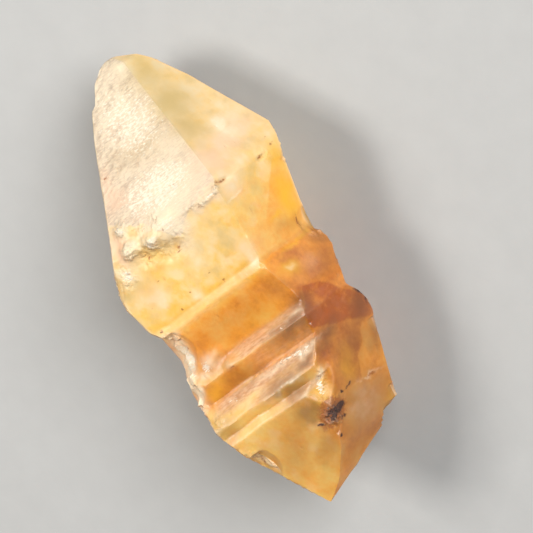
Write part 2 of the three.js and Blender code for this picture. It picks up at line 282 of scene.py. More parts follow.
BLUSH = [
    (5.9, 0.5, 0.7, 1.3, 0.75), (5.6, 1.5, 0.6, 1, 0.7), (5.5, 2.5, 0.6, 0.8, 0.5),
    (4.88, -4.15, 0.5, 0.6, 0.7), (4.1, -4.1, 0.8, 0.25, 0.5, -36), (2.4, -1.6, 0.4, 0.8, 0.4, 4),
    (6.6, -5.3, 0.8, 0.5, 0.8), (7.3, 0.6, 0.4, 0.5, 0.4), (7, -0.6, 0.5, 0.8, 0.35),
    (9.6, -0.3, 0.4, 0.7, 0.4), (9, -5.2, 0.6, 0.5, 0.4), (5.77, -2, 0.12, 1.5, 0.8, 3),
]
RUST = [
    (3.87, -3.95, 0.08, 0.28, 0.8, -15), (5.77, -2, 0.06, 1.5, 0.55, 3), (6.77, 0.08, 0.06, 0.14, 1, -30),
    (6.85, 0.42, 0.06, 0.2, 1), (7, -0.45, 0.05, 0.3, 0.6), (7.12, -1.1, 0.05, 0.3, 0.6),
    (6.94, 2.63, 0.08, 0.22, 0.9), (6.4, 3.2, 0.1, 0.14, 0.6), (6.75, 3.35, 0.08, 0.18, 0.8),
    (7.61, -4.59, 0.1, 0.1, 1), (7.99, -2.99, 0.08, 0.2, 0.9), (8.15, -3.06, 0.05, 0.22, 1),
    (6.5, -3.31, 0.2, 0.05, 0.8, 54), (6.52, -3.98, 0.04, 0.24, 0.8), (7.04, -3.09, 0.12, 0.05, 0.8),
    (8.58, -4.58, 0.05, 0.14, 0.6), (9.33, -5.45, 0.05, 0.08, 0.8), (9.68, -3.55, 0.06, 0.07, 0.8),
    (9.63, -3.87, 0.05, 0.06, 0.7), (9.54, -2.32, 0.05, 0.08, 0.8), (9.95, 2.72, 0.3, 0.08, 1, -6),
    (10.13, -4.27, 0.08, 0.08, 0.9), (10.15, -1.88, 0.09, 0.08, 1), (10.36, -5.6, 0.1, 0.1, 1),
    (10.58, -3.13, 0.06, 0.4, 0.5), (11.5, -5.75, 0.1, 0.2, 0.7), (12.1, -5.9, 0.06, 0.3, 0.6),
    (12.5, 0.1, 0.3, 0.35, 0.6), (12.1, 0.3, 0.3, 0.4, 0.35), (13.22, -4.03, 0.07, 0.16, 1),
    (13.2, -1, 0.06, 1.6, 0.5), (14, -2.6, 0.05, 0.6, 0.5), (15.2, -0.45, 0.06, 0.5, 0.5),
    (16.83, 2.6, 0.07, 0.35, 1, -6), (17.1, 0, 0.62, 0.85, 1.3), (16.85, -0.1, 0.35, 0.5, 1.4),
    (13.95, 3, 0.7, 0.2, 0.8, 29),
]
DARK = [
    (17.15, 0.05, 0.42, 0.58, 0.85), (17.08, 0.48, 0.2, 0.28, 1.2, -6), (17.5, 0.5, 0.09, 0.24, 0.9),
    (17.28, -0.75, 0.06, 0.28, 0.9, -24), (16.58, 1.25, 0.06, 0.26, 1, 14),
    (16.64, 0.85, 0.07, 0.14, 0.8), (18.1, 0.12, 0.08, 0.09, 1), (13.85, 2.95, 0.55, 0.1, 0.9, 29),
    (10.4, -5.62, 0.06, 0.06, 0.8),
]
GLOW = [
    (13.75, -5.5, 0.45, 0.5, 0.45), (8.1, -3.9, 0.6, 0.9, 0.6), (10.3, -5.6, 0.35, 0.5, 0.8),
    (13.5, -4.9, 0.3, 0.4, 0.3), (8.8, 2.7, 1, 0.5, 1, -16), (7.2, 3.2, 0.6, 0.5, 0.7),
    (9.26, 1.82, 0.12, 0.45, 0.8), (9.96, -4.67, 0.27, 0.36, 0.7), (10.4, -3, 0.35, 2.2, 0.9),
    (10.4, -0.9, 0.35, 0.9, 0.9), (10.55, 2, 0.1, 0.9, 0.7, 6), (7.95, -3.05, 0.16, 0.3, 1),
    (6.4, -4.5, 0.2, 0.25, 0.5), (7.5, -4.62, 0.25, 0.25, 0.55), (11.3, 0.8, 0.3, 0.36, 1),
    (18.1, 3.3, 0.5, 0.4, 0.8), (14.6, -4.9, 0.4, 0.8, 0.3), (16, 1.6, 0.7, 0.5, 0.5),
    (15.5, 0, 0.4, 0.4, 0.6), (16.15, 0, 0.6, 0.5, 1, -10), (17.8, 0.9, 0.5, 0.3, 0.35),
    (12.3, -2, 0.5, 1.6, 0.25),
]
# Glints are painted highlights: fine white flecks laid into the colour.
GLINTS = [
    (14.3, -1.3, 0.13, 1.9, 1), (14.35, -4.6, 0.14, 1.2, 0.8), (13.05, -1.2, 0.1, 1.6, 0.8),
    (15.7, -0.6, 0.1, 0.6, 0.8), (2.6, -1.5, 3.2, 2.8, 0.86), (5.5, -2.4, 1.5, 3, 1),
    (6.9, -2.8, 0.5, 0.9, 0.9), (6.05, -4.76, 0.3, 0.4, 1), (7.15, -3.78, 0.3, 0.4, 1),
    (6.86, -4.85, 0.3, 0.4, 0.8), (7.7, -5.7, 0.5, 0.5, 1, -30), (7.05, -0.5, 0.15, 0.7, 1, 8),
    (12, -6.2, 1.2, 0.6, 1, -8), (12.6, -5.2, 0.4, 0.5, 1), (15.9, 0.1, 0.6, 0.25, 1, -8),
]
# Smoky brown tones, and painted shadow: the marks at (16.6, -1) and (18.1, -0.6), by the base on the top
# face, paint a cast shadow.
SMOKE_AND_SHADE = [
    (9.78, 1.99, 0.33, 0.6, 0.3), (10.9, 2.9, 0.6, 0.7, 0.65), (11.7, 1.9, 1, 1.3, 0.5),
    (11.7, -2.6, 1, 3.4, 0.3), (11.6, -0.4, 0.8, 0.7, 0.4), (10.4, -2.7, 0.2, 2.6, 0.25),
    (10.4, -0.8, 0.25, 0.7, 0.35), (3.84, -1.6, 0.5, 1.7, 0.22, -6), (5.77, -2, 0.07, 1.5, 0.3, 3),
    (12.8, 0, 0.7, 0.7, 0.75), (13.3, -0.8, 0.5, 1.5, 0.85), (13.8, -4, 0.45, 1, 0.55),
    (12.8, -4.9, 0.6, 1, 0.4), (13.3, -4.1, 0.4, 0.6, 0.4), (14, -3.4, 0.3, 0.8, 0.5),
    (14.7, -0.4, 0.4, 0.7, 0.8), (15, -1.7, 0.4, 1.3, 0.75), (15.5, -1.3, 0.7, 1, 0.7),
    (16.6, -1, 0.8, 1.2, 0.75), (14.4, 0.6, 0.7, 0.9, 0.8), (14.2, 2.8, 1, 1, 0.8),
    (13.6, 1.6, 0.7, 1.2, 0.25), (15.1, 2.4, 1.2, 1.5, 0.6), (15.6, 3.4, 1, 0.8, 0.7),
    (17.9, 1.6, 1.9, 3, 0.68), (18.1, -0.6, 0.9, 1.2, 0.6), (17.5, -2.2, 1.6, 2, 0.5),
    (17.2, -0.3, 0.6, 0.8, 0.8), (8.15, -3.9, 0.3, 0.8, 0.2, -12), (15.2, -5.3, 0.8, 1.1, 0.42),
]

# Kinds of mark: (marks, how far noise shifts them in millimetres), and the waves of that noise.
MARKS = {
    "crust": (CRUST, 0.15), "broken": (BROKEN, 0.1), "cloud_and_reflection": (CLOUDS_AND_REFLECTIONS, 0.16), "olive": (OLIVE, 0.2),
    "rust": (RUST, 0.05), "dark": (DARK, 0.05), "glow": (GLOW, 0.18), "smoke_and_shade": (SMOKE_AND_SHADE, 0.2),
    "glint": (GLINTS, 0.12), "blush": (BLUSH, 0.2),
}
WANDER_ALONG = [(1, 0.45, 3.0), (0.5, 0.16, 5.0)]
WANDER_AROUND = [(1, 0.45, 9.0)]

# Patches on the faces that look down or back: (mark, size, noise shift, start, strength).
WEATHERING = [
    ("cloud_and_reflection", 1.3, 21.0, 0.2, 0.6), ("olive", 1.7, 25.0, 0.25, 0.6), ("rust", 0.22, 27.0, 0.6, 0.75),
    ("crust", 1.1, 29.0, 0.35, 0.7), ("smoke_and_shade", 2.1, 31.0, 0.2, 0.3), ("blush", 1.5, 33.0, 0.2, 0.5),
]
PATCH_EDGE = 0.35
STAIN_WAVES = [(1.6, 0.35, 35.0)]
BITE_DEPTH = (0.05, 0.25)
BITE_PALENESS = 0.6

# Raised edges are paler: faintly on sound faces, as a painted highlight on the crests, and fully where
# etched, crusted or broken, as worn crystal with a painted highlight. A bright line, a painted highlight,
# runs along the two side edges.
BUMP_REACHES = [(2, 1.0), (4, 0.5)]
BUMP_STEP = (0.01, 0.08)
SOUND_EDGE_HIGHLIGHT = 0.12
RIM_WIDTH = 0.07
RIM_HIGHLIGHT_STRENGTH = 0.8
RIM_END = (10.6, 9.8)

# How orange the crystal is along its length, on the left and on the right: growth zones.
LEFT_ZONES = [
    (0, 0.02), (6.6, 0.05), (7.2, 0.18), (9.2, 0.26), (10.2, 0.38), (10.7, 0.54), (11.0, 0.68), (12.6, 0.68),
    (13.0, 0.5), (13.3, 0.72), (14.1, 0.72), (14.5, 0.42), (17, 0.46), (LENGTH, 0.5),
]
RIGHT_ZONES = [
    (0, 0.1), (4, 0.1), (6.2, 0.12), (7.6, 0.38), (10.2, 0.52), (10.7, 0.76), (12.6, 0.84), (13.4, 0.88),
    (15, 0.78), (17, 0.68), (LENGTH, 0.68),
]

# Panels of the right face, where a growth zone ends at a plane: (how orange, corners as (at, girth)).
PANELS = [
    (1.0, [(12.2, 0.5), (12.4, 1.25), (14.6, 4.0), (14.95, 3.8), (13.85, -0.1), (13.06, 0.05)]),
    (0.86, [(13.9, -0.05), (14.86, 2.92), (16.75, 2.05), (16.55, 0.4), (15.0, 0.1)]),
    (0.66, [(14.86, 2.92), (15.2, 4.6), (16.9, 4.4), (16.79, 2.0)]),
    (0.56, [(7.3, 3.0), (7.5, 4.2), (10.6, 4.2), (10.5, 1.6), (9.26, 1.15)]),
]
PANEL_SOFTNESS = 0.05
PANEL_WAVES = [(0.03, 0.4, 9.0)]
ZONE_WAVES = [(0.25, 1.8, 6.0), (0.08, 0.5, 7.0)]
RIGHT_SIDE_ANGLE = 190
SIDE_WAVES = [(0.1, 1.2, 8.0)]
SIDE_BLEND = (0.17, 0.5)

# --- Noise, as whole arrays ---


def noise(x, y, z):
    """Smooth noise from -1 to 1: random values at whole-number places, blended between them with
    the smooth weight 3 t^2 - 2 t^3 along each direction."""
    places = np.stack(np.broadcast_arrays(x, y, z), axis=-1)
    cell = np.floor(places).astype(int)
    part = places - cell
    blend = part * part * (3 - 2 * part)
    total = np.zeros(places.shape[:-1])
    for corner in itertools.product((0, 1), repeat=3):
        weight = np.prod(np.where(corner, blend, 1 - blend), axis=-1)
        i, j, k = np.moveaxis((cell + corner) % LATTICE, -1, 0)
        total += weight * RANDOM_VALUES[i, j, k]
    return 2 * total - 1


def noise_at(points, size, shift=0.0):
    """Noise on points in space, with features of one size. The shift only keeps one use of the
    noise from repeating another."""
    return noise(*np.moveaxis(points / size + shift, -1, 0))


def streaks(along, sideways, kind):
    """Noise in streaks that are stretched sideways, of one kind: (pitch, length, noise shift)."""
    pitch, length, shift = kind
    return noise(along / pitch, sideways / length, shift)


def grains(points, size, shift=0.0):
    """Scattered grains, one in each cube of the given size: the distance to the nearest grain's seed,
    a random value from 0 to 1 that each grain keeps, and the height of a flat facet, tilted in the
    direction that this value gives."""
    places = points / size + shift
    cell = np.floor(places).astype(int)
    nearest = np.full(places.shape[:-1], np.inf)
    value = np.zeros(places.shape[:-1])
    offset = np.zeros(places.shape)
    for neighbour in itertools.product((-1, 0, 1), repeat=3):
        corner = cell + neighbour
        i, j, k = np.moveaxis(corner % LATTICE, -1, 0)
        step = places - corner - RANDOM_PLACES[i, j, k]
        distance = np.linalg.norm(step, axis=-1)
        closer = distance < nearest
        nearest = np.where(closer, distance, nearest)
        value = np.where(closer, RANDOM_VALUES[i, j, k], value)
        offset = np.where(closer[..., None], step, offset)
    turn = 2 * np.pi * value
    facet = offset[..., 0] * np.cos(turn) + offset[..., 1] * np.sin(turn)
    return nearest, value, facet


def wobble(points, waves):
    """Sum of noises on points in space, each given as (height, size, noise shift)."""
    return sum(height * noise_at(points, size, shift) for height, size, shift in waves)


def smooth_step(low, high, value):
    """0 below low, 1 above high, and 3 t^2 - 2 t^3 between them. Works downwards when low > high."""
    share = np.clip((value - low) / (high - low), 0, 1)
    return share * share * (3 - 2 * share)


def unit(vectors):
    """The vectors at a length of 1, except that one of no length stays as it is."""
    return vectors / np.maximum(np.linalg.norm(vectors, axis=-1, keepdims=True), TINY)


# --- The coarse form ---


def direction(angle):
    """Unit vector in the ring's plane, at an angle in degrees from +Y towards +Z."""
    return np.array([math.cos(math.radians(angle)), math.sin(math.radians(angle))])


def face_heights(at):
    """Distance of each face from the axis, read off its profile on straight lines."""
    return np.stack([np.interp(at, profile[:, 0], profile[:, 1]) for profile in PROFILES])


def ring_corners(at):
    """Where each face meets the next: its height along its normal, plus a reach across it of
    (next height - height cos 60) / sin 60."""
    height = face_heights(at)[..., None]
    following = np.roll(height, -1, axis=0)
    reach = (following - height * math.cos(FACE_TURN)) / math.sin(FACE_TURN)
    spread = (FACE_COUNT,) + (1,) * np.ndim(at) + (2,)
    return height * NORMALS.reshape(spread) + reach * ACROSS.reshape(spread)


def pulled_in(points, middle, towards, limit):
    """Points that reach past a limit in one direction, drawn straight towards the ring's middle
    until they lie on it."""
    outward = points - middle
    reach = outward @ towards
    allowed = limit - middle @ towards
    share = np.where(reach > allowed, allowed / np.maximum(reach, TINY), 1)
    return middle + outward * share[..., None]


def hump(along, sideways, along_size, wide_size, turn=0):
    """exp(-a^2 - w^2), where a and w are the offsets over their sizes, in turned directions."""
    cosine, sine = direction(turn)
    a = (along * cosine + sideways * sine) / along_size
    w = (sideways * cosine - along * sine) / wide_size
    return np.exp(-a * a - w * w)


def edge_reach(angle, at):
    """How far the unbroken ring reaches in one direction at one distance from the tip."""
    return (ring_corners(np.array([at])) @ direction(angle)).max()


def scooped(points, middle, at):
    """Every scoop: the limit is the edge less depth (1 - (offset / half length)^2), tilted by its
    slope."""
    for angle, place, reach, depth, slope in SCOOPS:
        offset = at - place
        scoop = 1 - (offset / reach) ** 2
        limit = edge_reach(angle, place) - depth * scoop + slope * offset
        points = pulled_in(points, middle, direction(angle), np.where(scoop > 0, limit, np.inf))
    return points


def notched(points, middle, at):
    """Small notches along the edges: each is a valley of two flat slopes, one steep and one long,
    up to where they have risen by NOTCH_REACH times its depth."""
    random = np.random.default_rng(SEED + 2)
    for _ in range(NOTCH_COUNT):
        corner = random.integers(FACE_COUNT) * FACE_DEGREES
        angle = corner + random.uniform(-NOTCH_SPREAD, NOTCH_SPREAD)
        place = random.uniform(*NOTCH_STRETCH)
        depth = random.uniform(*NOTCH_DEPTH)
        to_tip, to_base = random.uniform(*NOTCH_SLOPE, 2)
        rise = np.maximum((place - at) * to_tip, (at - place) * to_base)
        limit = edge_reach(angle, place) - depth + rise
        near = rise < NOTCH_REACH * depth
        points = pulled_in(points, middle, direction(angle), np.where(near, limit, np.inf))
    return points


def hills(points, at):
    """Sum of the lumps and pits: each is a hump of its own height, on its own face alone."""
    total = np.zeros(at.shape)
    for face, place, across, along_size, wide_size, turn, height in LUMPS_AND_PITS:
        surface = np.interp(place, *PROFILES[face].T)
        near = np.abs(points @ NORMALS[face] - surface) <= SAME_FACE
        sideways = points @ ACROSS[face] - across
        rise = height * hump(at - place, sideways, along_size, wide_size, turn)
        total += np.where(near, rise, 0)
    return total


def axis_rows():
    """Distances from the tip of the rows, and how far each row is closed towards the ring's middle:
    0 at the centre of the cap over the tip, 1 from its rim onwards."""
    stretches = [np.linspace(start, end, count, endpoint=False) for start, end, count in ROW_STRETCHES]
    body = np.append(np.concatenate(stretches), LENGTH)
    at = np.concatenate([np.zeros(CAP_ROWS), body])
    openness = np.concatenate([np.linspace(0, 1, CAP_ROWS, endpoint=False), np.ones(len(body))])
    return at, openness


def ragged(at, face_place):
    """Shifts each place along the axis by a little noise, so that ledges and edges waver as broken
    crystal does. The pyramid and the wedge at the base stay where they are."""
    fade = smooth_step(*RAGGED_START, at) * smooth_step(*RAGGED_END, at)
    shift = sum(
        step * noise(at / length, face_place * turns, seed)
        for step, length, turns, seed in RAGGED_WAVES
    )
    return np.clip(at + fade * shift, 0, LENGTH)


def first_column(face):
    """The column of the grid at which a face begins."""
    return sum(COLUMNS_PER_FACE[:face])


def plain_faces(corners, face, share):
    """Points on the straight lines from each face's first corner to its second, each column at its
    own share of the way."""
    columns = np.arange(len(face))
    start = corners[(face - 1) % FACE_COUNT, :, columns].swapaxes(0, 1)
    end = corners[face, :, columns].swapaxes(0, 1)
    return start + (end - start) * share[:, None]


def girth_of(points):
    """Distance around the ring from the top face's right ridge: the running sum of the steps
    between neighbouring columns."""
    steps = np.linalg.norm(points - np.roll(points, 1, axis=1), axis=-1)
    total = np.cumsum(steps, axis=1)
    return total - total[:, [first_column(RIGHT)]]


class Ring:
    """The crystal's grid: rows along the axis by columns around the ring, before the fine relief."""

    def __init__(self):
        rows, openness = axis_rows()
        face = np.repeat(np.arange(FACE_COUNT), COLUMNS_PER_FACE)
        share = np.concatenate([np.arange(count) / count for count in COLUMNS_PER_FACE])
        self.at = np.repeat(rows[:, None], len(face), axis=1)
        self.openness = np.repeat(openness[:, None], len(face), axis=1)
        self.angle = np.degrees(FACE_TURN) * (face + share)
        corners = ring_corners(ragged(self.at, around(face + share)))
        middle = corners.mean(axis=0)
        plain = plain_faces(corners, face, share)
        self.girth = girth_of(plain)
        points = notched(scooped(plain, middle, self.at), middle, self.at)
        self.bitten = np.linalg.norm(points - plain, axis=-1)
        points = points + unit(points - middle) * hills(points, self.at)[..., None]
        points = middle + (points - middle) * self.openness[..., None]
        dome = CAP_DOME * (1 - self.openness**2)
        self.points = np.concatenate([(dome - self.at)[..., None], points], axis=-1)
        self.points[..., 2] = np.maximum(self.points[..., 2], -RESTING_DISTANCE)

    def away_from(self, face):
        """Distance around the ring from the edge at which a face begins."""
        return self.girth - self.girth[:, [first_column(face)]]

    def on_top(self):
        """1 on the top face and 0 elsewhere, with a soft step over the ridge to the right face."""
        return (self.angle >= TOP_START) * smooth_step(RIDGE_SOFTNESS, -RIDGE_SOFTNESS, self.girth)

    def unseen(self):
        """1 on the faces that look down or back, and 0 on the top and right faces."""
        return ((self.angle < TOP_START) | (self.angle >= RIGHT_END)).astype(float)


def around(place):
    """A number that runs around the ring without a seam: two waves of the place, one after the
    other, folded into a single wavy value for noise to read."""
    turn = place / FACE_COUNT * 2 * np.pi
    return np.sin(turn) + RAGGED_FOLD * np.cos(turn)


def grid_normals(points):
    """Outward unit normals of the grid: the cross product of the steps to the next column and to
    the next row."""
    along = np.gradient(points, axis=0)
    beside = np.roll(points, -1, axis=1) - np.roll(points, 1, axis=1)
    return unit(np.cross(along, beside))


def patches(ring, marks, wander):
    """Strength of a set of marks: each is a hump around its place, with the place shifted by a
    little noise so that no outline is a clean ellipse. The strongest mark wins."""
    at = ring.at + wander * wobble(ring.points, WANDER_ALONG)
    around_ring = ring.girth + wander * wobble(ring.points, WANDER_AROUND)
    strongest = np.zeros(ring.at.shape)
    for place, girth, along_size, around_size, strength, *turn in marks:
        mark = hump(at - place, around_ring - girth, along_size, around_size, *turn)
        strongest = np.maximum(strongest, strength * mark)
    return strongest


def frost_mask(ring):
    """1 on the etched pyramid faces: the top face up to its crusty border, the back face up to its
    widest line, and the strip of the left face between them more faintly."""
    border_girth, border_at = np.array(FROST_BORDER).T
    fray = wobble(ring.points, BORDER_WAVES)
    border = np.interp(ring.girth, border_girth, border_at) + fray
    top = smooth_step(border + BORDER_SOFTNESS, border - BORDER_SOFTNESS, ring.at)
    torn = smooth_step(*VEIL_HOLES, wobble(ring.points, VEIL_WAVES))
    veil = VEIL_STRENGTH * torn * smooth_step(border + VEIL_WIDTH, border, ring.at)
    other = smooth_step(*BACK_BORDER, ring.at + fray)
    share = BACK_FROST * (ring.angle >= BACK_START) + LEFT_FROST * (ring.angle < TOP_START)
    return np.maximum(np.maximum(top, veil) * ring.on_top(), other * share)


def ledge_bands(ring):
    """Pinkish bands on the top face's ledges: each fades in and out across its width, ends softly at
    both sides, and is streaked by noise stretched around the ring."""
    at = ring.at + wobble(ring.points, BAND_WAVES)
    fill = smooth_step(*BAND_STREAK_STEP, streaks(at, ring.girth, BAND_STREAKS))
    total = np.zeros(ring.at.shape)
    for start, full, still, end, left, right, strength in LEDGE_BANDS:
        across = smooth_step(start, full, at) * smooth_step(end, still, at)
        reach = smooth_step(left - BAND_FADE, left + BAND_FADE, ring.girth)
        reach *= smooth_step(right + BAND_END, right - BAND_END, ring.girth)
        total = np.maximum(total, strength * across * reach)
    return total * (1 - BAND_CONTRAST + BAND_CONTRAST * fill) * ring.on_top()


def striae(ring):
    """Wavy growth striae: noise stretched around the ring, on lines that run a little aslant, and
    more steeply beside the left edge."""
    from_left = np.abs(ring.away_from(TOP))
    steep = EDGE_SLANT * EDGE_SLANT_REACH * np.exp(-from_left / EDGE_SLANT_REACH)
    lean = SLANT * ring.girth - steep
    line = ring.at + lean + wobble(ring.points, STRIAE_WAVES)
    ridged = 1 - 2 * np.abs(streaks(line, ring.girth, STRIAE_STREAKS))
    swell = streaks(line, ring.girth, SWELL_STREAKS)
    grain = wobble(ring.points, GRAIN_WAVES)
    rough = 1 - (1 - STRIAE_LOW_SHARE) * smooth_step(*STRIAE_FADE, ring.at)
    rough *= smooth_step(0.0, RIDGE_CALM, np.abs(ring.girth))
    return rough * (STRIAE_RISE * ridged + grain) + SWELL_RISE * swell


def relief(ring, masks, lines):
    """Height of the fine relief: faint waves everywhere, striae where etched, crumbs on crusts and
    small flat facets where broken. It fades out on the face that the crystal rests on."""
    points = ring.points
    waves = wobble(points, SURFACE_WAVES)
    rib_rise = RIB_RISE + UNSEEN_RIB_RISE * ring.unseen()
    ribs = rib_rise * streaks(ring.at, ring.girth, RIB_STREAKS)
    nearest, level, _ = grains(points, *CRUMB_GRAINS)
    small, _, _ = grains(points, *SMALL_CRUMB_GRAINS)
    crumbs = CRUMB_RISE * (CRUMB_MIDDLE - nearest + (CRUMB_MIDDLE - small) / 2)
    _, plate, facet = grains(points, *FACET_GRAINS)
    broken = FACET_TILT * facet + FACET_STEP * (plate - 0.5)
    pits = -PIT_DEPTH * smooth_step(*PIT_WALL, nearest) * (level > PIT_RARITY)
    height = waves + ribs + masks["frost"] * lines + masks["crust"] * crumbs
    height += masks["broken"] * broken + pits * (1 - masks["frost"])
    on_floor = smooth_step(0, FLOOR_FADE, points[..., 2] + RESTING_DISTANCE)
    ends = ring.openness * smooth_step(LENGTH, LENGTH - BASE_FADE, ring.at)
    return height * on_floor * ends


def stands_out(points, normals, reach):
    """How far each point stands out of its surroundings: its offset along its normal from the mean
    of the points a few steps away along and around the grid."""
    rows = np.arange(len(points))
    before = points[np.maximum(rows - reach, 0)]
    after = points[np.minimum(rows + reach, len(points) - 1)]
    mean = (before + after + np.roll(points, reach, 1) + np.roll(points, -reach, 1)) / 4
    return np.einsum("rci,rci->rc", points - mean, normals)


def panel(at, girth, corners):
    """1 inside a convex panel: the least distance to any of its sides, taken over a soft step. The
    corners run from the tip side towards growing girth."""
    inside = np.full(at.shape, np.inf)
    for (at_1, girth_1), (at_2, girth_2) in zip(corners, corners[1:] + corners[:1]):
        length = math.hypot(at_2 - at_1, girth_2 - girth_1)
        side = (at - at_1) * (girth_2 - girth_1) - (girth - girth_1) * (at_2 - at_1)
        inside = np.minimum(inside, side / length)
    return smooth_step(-PANEL_SOFTNESS, PANEL_SOFTNESS, inside)


def zones(ring):
    """How orange each place is: the left and right zone profiles, blended by the angle around the
    axis and shifted by slow noise, with the right face's panels on top."""
    at = ring.at + wobble(ring.points, ZONE_WAVES)
    left, right = (np.interp(at, *np.array(table, float).T) for table in (LEFT_ZONES, RIGHT_ZONES))
    facing = np.cos(np.radians(ring.angle - RIGHT_SIDE_ANGLE))
    share = smooth_step(*SIDE_BLEND, facing + wobble(ring.points, SIDE_WAVES))
    amber = left + (right - left) * share
    at = ring.at + wobble(ring.points, PANEL_WAVES)
    for value, corners in PANELS:
        amber += (value - amber) * panel(at, ring.girth, corners)
    return amber


def weather(ring, masks):
    """Marks for the faces that look down or back: patches where noise is high, iron stain in the
    crusts, and pale broken crystal where scoops and notches have bitten into the edges."""
    for name, size, shift, start, strength in WEATHERING:
        patch = strength * smooth_step(start, start + PATCH_EDGE, noise_at(ring.points, size, shift))
        masks[name] = np.maximum(masks[name], patch * ring.unseen())
    stain = masks["crust"] * smooth_step(0, 1, wobble(ring.points, STAIN_WAVES))
    masks["rust"] = np.maximum(masks["rust"], stain * ring.unseen())
    bite = BITE_PALENESS * smooth_step(*BITE_DEPTH, ring.bitten)
    masks["broken"] = np.maximum(masks["broken"], bite * ring.unseen())


def rim_highlights(ring):
    """1 along the two long edges at the sides, where a bright line of painted highlight runs."""
    total = np.zeros(ring.at.shape)
    for face in (LEFT, LOWER_RIGHT):
        total = np.maximum(total, np.exp(-((ring.away_from(face) / RIM_WIDTH) ** 2)))
    return total * smooth_step(*RIM_END, ring.at)


def crystal_arrays():
    """The finished points in millimetres, and the attributes that the material reads."""
    ring = Ring()
    masks = {name: patches(ring, *kind) for name, kind in MARKS.items()}
    weather(ring, masks)
    masks["frost"] = frost_mask(ring)
    masks["ledge"] = ledge_bands(ring)
    masks["amber"] = zones(ring)
    lines = striae(ring)
    # The frost is paler on the striae's crests and darker in their valleys: the etch's own whiteness, with
    # painted highlight and shade on the relief.
    masks["striae_whiteness_and_shade"] = smooth_step(*STREAK_STEP, lines)
    normals = grid_normals(ring.points)
    points = ring.points + normals * relief(ring, masks, lines)[..., None]
    points[..., 2] = np.maximum(points[..., 2], -RESTING_DISTANCE)
    normals = grid_normals(points)
    bump = sum(weight * stands_out(points, normals, reach) for reach, weight in BUMP_REACHES)
    crumbled = np.maximum.reduce([masks["crust"], masks["broken"], masks["frost"]])
    # Paler raised places: a painted highlight on the crests, and worn crystal where crumbled.
    lit_and_worn_ridges = smooth_step(*BUMP_STEP, bump) * (SOUND_EDGE_HIGHLIGHT + (1 - SOUND_EDGE_HIGHLIGHT) * crumbled)
    masks["edge"] = lit_and_worn_ridges
    masks["rim_highlight"] = RIM_HIGHLIGHT_STRENGTH * rim_highlights(ring)
    masks["hollow"] = smooth_step(*BUMP_STEP, -bump) * (1 - masks["broken"])
    return points, masks


# --- The mesh ---


def grid_faces(row_count, column_count):
    """Quads between neighbouring rows, with a fan of triangles around the pole at each end. The
    poles come after the grid in the vertex list."""
    index = np.arange(row_count * column_count).reshape(row_count, column_count)
    beside = np.roll(index, -1, axis=1)
    quads = np.stack([index[:-1], index[1:], beside[1:], beside[:-1]], axis=-1).reshape(-1, 4)
    tip, base = index.size, index.size + 1
    near = np.stack([np.full(column_count, tip), index[0], beside[0]], axis=-1)
    far = np.stack([np.full(column_count, base), beside[-1], index[-1]], axis=-1)
    return quads.tolist() + near.tolist() + far.tolist()


def seated(points):
    """Moves the crystal into its place: its box centred under the frame's, its lowest face down."""
    low, high = (np.array(corner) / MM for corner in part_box(NODE))
    shift = (low + high) / 2 - (points.max(axis=0) + points.min(axis=0)) / 2
    shift[2] = low[2] - points[:, 2].min()
    return points + shift


def with_poles(rows):
    """A grid's inner rows as one list, with its first and last rows each reduced to one pole."""
    inner = rows[1:-1].reshape(-1, *rows.shape[2:])
    return np.concatenate([inner, rows[:1].mean(axis=1), rows[-1:].mean(axis=1)])


def placed(name, data):
    """A new object with the given mesh, lamp or camera, in the scene."""
    thing = bpy.data.objects.new(name, data)
    bpy.context.scene.collection.objects.link(thing)
    return thing


def build_crystal():
    """The crystal's mesh object, with its attributes and smooth shading broken at sharp edges."""
    points, masks = crystal_arrays()
    row_count, column_count = points.shape[0] - 2, points.shape[1]
    places = seated(with_poles(points)) * MM
    mesh = bpy.data.meshes.new("rough_crystal")
    mesh.from_pydata(places.tolist(), [], grid_faces(row_count, column_count))
    for name, values in masks.items():
        attribute = mesh.attributes.new(name, "FLOAT", "POINT")
        attribute.data.foreach_set("value", with_poles(values).astype(np.float32))
    mesh.polygons.foreach_set("use_smooth", np.ones(len(mesh.polygons), bool))
    mesh.set_sharp_from_angle(angle=math.radians(SHARP_ANGLE))
    mesh.update()
    return placed("rough_crystal", mesh)


# --- Materials ---


DISPLAY_GAMMA = 2.2


def colour(red, green, blue):
    """A display colour, 0 to 255, as the linear value that a shader takes."""
    return tuple((value / 255) ** DISPLAY_GAMMA for value in (red, green, blue)) + (1.0,)


PALE = colour(250, 229, 180)
HONEY = colour(254, 212, 113)
ORANGE = colour(250, 164, 52)
DEEP_ORANGE = colour(184, 92, 4)
FROST = colour(244, 230, 202)
FROST_SHADE = colour(198, 182, 160)
BLUSH_TINT = colour(250, 212, 180)
# The tone of the painted highlight along the two side edges.
RIM_HIGHLIGHT_TONE = colour(255, 214, 150)
CREAM = colour(255, 245, 212)
GLINT = colour(255, 252, 232)
PINK_PALE = colour(240, 196, 152)
PINK_SHADE = colour(204, 148, 100)
OLIVE_TINT = colour(208, 186, 122)
IRON_BROWN = colour(158, 90, 30)
INCLUSION = colour(58, 34, 22)
GOLD = colour(255, 196, 40)
# Smoky brown, also used for painted shadow.
SMOKE_AND_SHADE_BROWN = colour(112, 72, 34)

# The colour sockets of a Mix node, by their places among its inputs and outputs.
MIX_FIRST, MIX_SECOND, MIX_RESULT = 6, 7, 2

# Body colours by how orange a place is.
BODY_RAMP = [(0.0, PALE), (0.35, HONEY), (0.7, ORANGE), (1.0, DEEP_ORANGE)]

